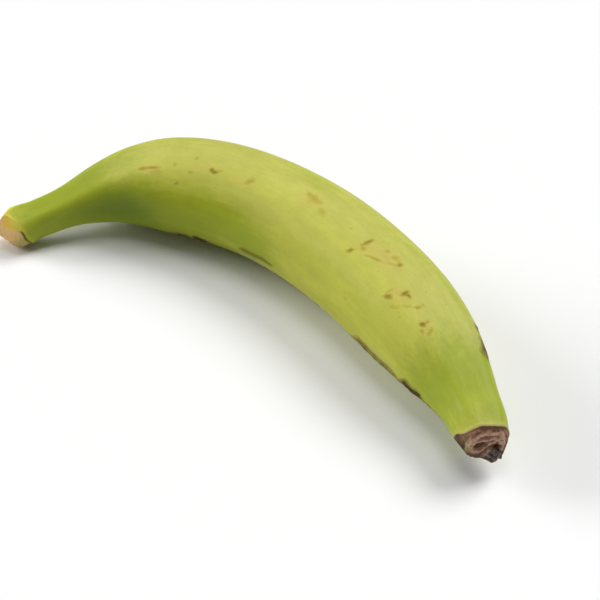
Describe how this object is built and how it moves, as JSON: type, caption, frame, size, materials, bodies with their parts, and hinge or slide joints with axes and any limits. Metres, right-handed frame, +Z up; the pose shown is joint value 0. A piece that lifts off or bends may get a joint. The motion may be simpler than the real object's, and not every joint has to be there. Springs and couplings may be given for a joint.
{
  "type": "plantain",
  "caption": "Whole green plantain: a long bowed fruit with blunt ridges, a cut stem at one end and a brown blossom scar at the other, lying on its side.",
  "frame": {"origin": "on the surface the fruit lies on, under the middle of its bounding box", "axes": "+X along the chord from the cut stem to the blossom end, +Y towards the outside of the bow, +Z up as it lies"},
  "size_m": [0.2556, 0.0936, 0.0459],
  "materials": {
    "peel": "smooth waxy green peel with a soft sheen, scabs, scarred ridges, a tan stem cut and a brown blossom end"
  },
  "bodies": {
    "root": {"plantain": "peel"}
  },
  "joints": []
}
